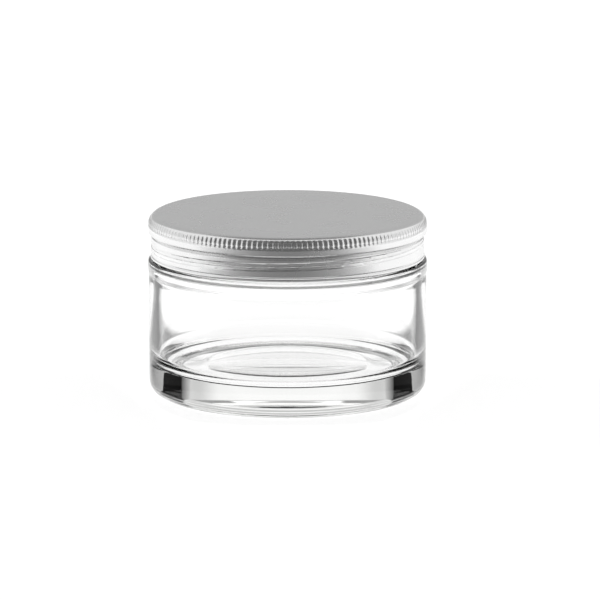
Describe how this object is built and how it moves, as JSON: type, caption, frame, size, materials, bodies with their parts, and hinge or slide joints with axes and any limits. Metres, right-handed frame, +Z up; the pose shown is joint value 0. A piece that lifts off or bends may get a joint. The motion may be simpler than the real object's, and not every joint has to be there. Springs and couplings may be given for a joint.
{
  "type": "cosmetic cream jar",
  "caption": "Low round clear glass cream jar with a heavy base, a right-hand screw neck and a knurled aluminium screw cap lined with a foam wad.",
  "frame": {"origin": "centre of the base, on the surface the jar stands on", "axes": "+Z up along the jar's axis; -Y is the front"},
  "size_m": [0.0864, 0.0864, 0.0558],
  "materials": {
    "clear_glass": "polished, clear, faint green-grey tint in the thick base",
    "satin_aluminium": "satin, fine matte top, brighter rolled edges",
    "liner_film": "smooth white polyethylene film",
    "liner_foam": "white closed-cell polyethylene foam"
  },
  "bodies": {
    "jar": {"glass_jar": "clear_glass"},
    "liner": {"liner_face_lower": "liner_film", "liner_foam": "liner_foam", "liner_face_upper": "liner_film"},
    "cap": {"cap_shell": "satin_aluminium"}
  },
  "joints": [
    {"name": "cap_lift", "type": "slide", "parent": "jar", "child": "liner", "axis": [0, 0, 1], "range_m": [0, 0.0128]},
    {"name": "cap_turn", "type": "hinge", "parent": "liner", "child": "cap", "pos_m": [0, 0, 0.0488], "axis": [0, 0, 1], "range_deg": [0, 900]}
  ],
  "couplings": [
    {"joint": "cap_lift", "follows": "cap_turn", "m_per_rad": 0.00080851}
  ]
}
